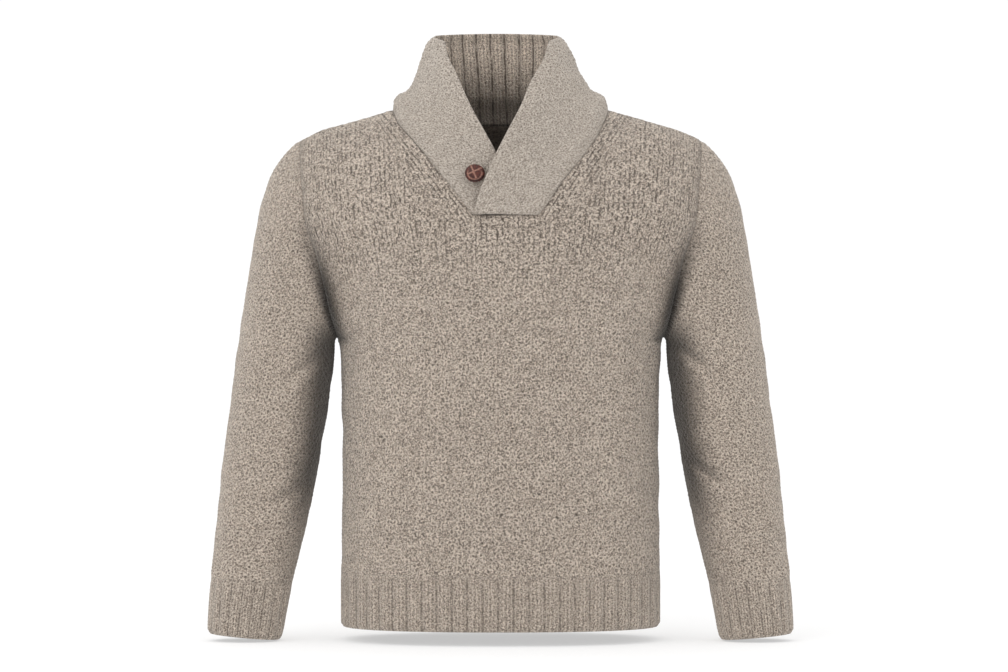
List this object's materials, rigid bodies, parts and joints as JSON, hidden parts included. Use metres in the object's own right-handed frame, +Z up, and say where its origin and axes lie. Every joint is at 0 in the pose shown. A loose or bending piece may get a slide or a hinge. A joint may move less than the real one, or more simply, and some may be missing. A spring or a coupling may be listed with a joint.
{
  "type": "knit pullover",
  "caption": "Hollow shawl-collared knit pullover for the upper body, filled out as worn, with open neck, hem and cuffs and a knot button on the crossed collar.",
  "frame": {"origin": "centre of the neck's base, level with the points where the collar meets the shoulders and midway between them; the garment hangs from the wearer's neck and shoulders there", "axes": "+X to the wearer's left, -Y to the wearer's front, +Z up"},
  "size_m": [0.7604, 0.2466, 0.7912],
  "materials": {
    "wool": "heathered oatmeal wool knit, matt with a soft fuzz",
    "rib": "2x2 rib of the same wool",
    "collar": "the same wool, finer and smoother, ribbed on its inner face",
    "button": "woven red-brown leather with worn, lighter edges"
  },
  "bodies": {
    "root": {"front": "wool", "back": "wool", "sleeve_left": "wool", "sleeve_right": "wool", "hem_rib": "rib", "cuff_left": "rib", "cuff_right": "rib", "collar": "collar", "button": "button"}
  },
  "joints": []
}
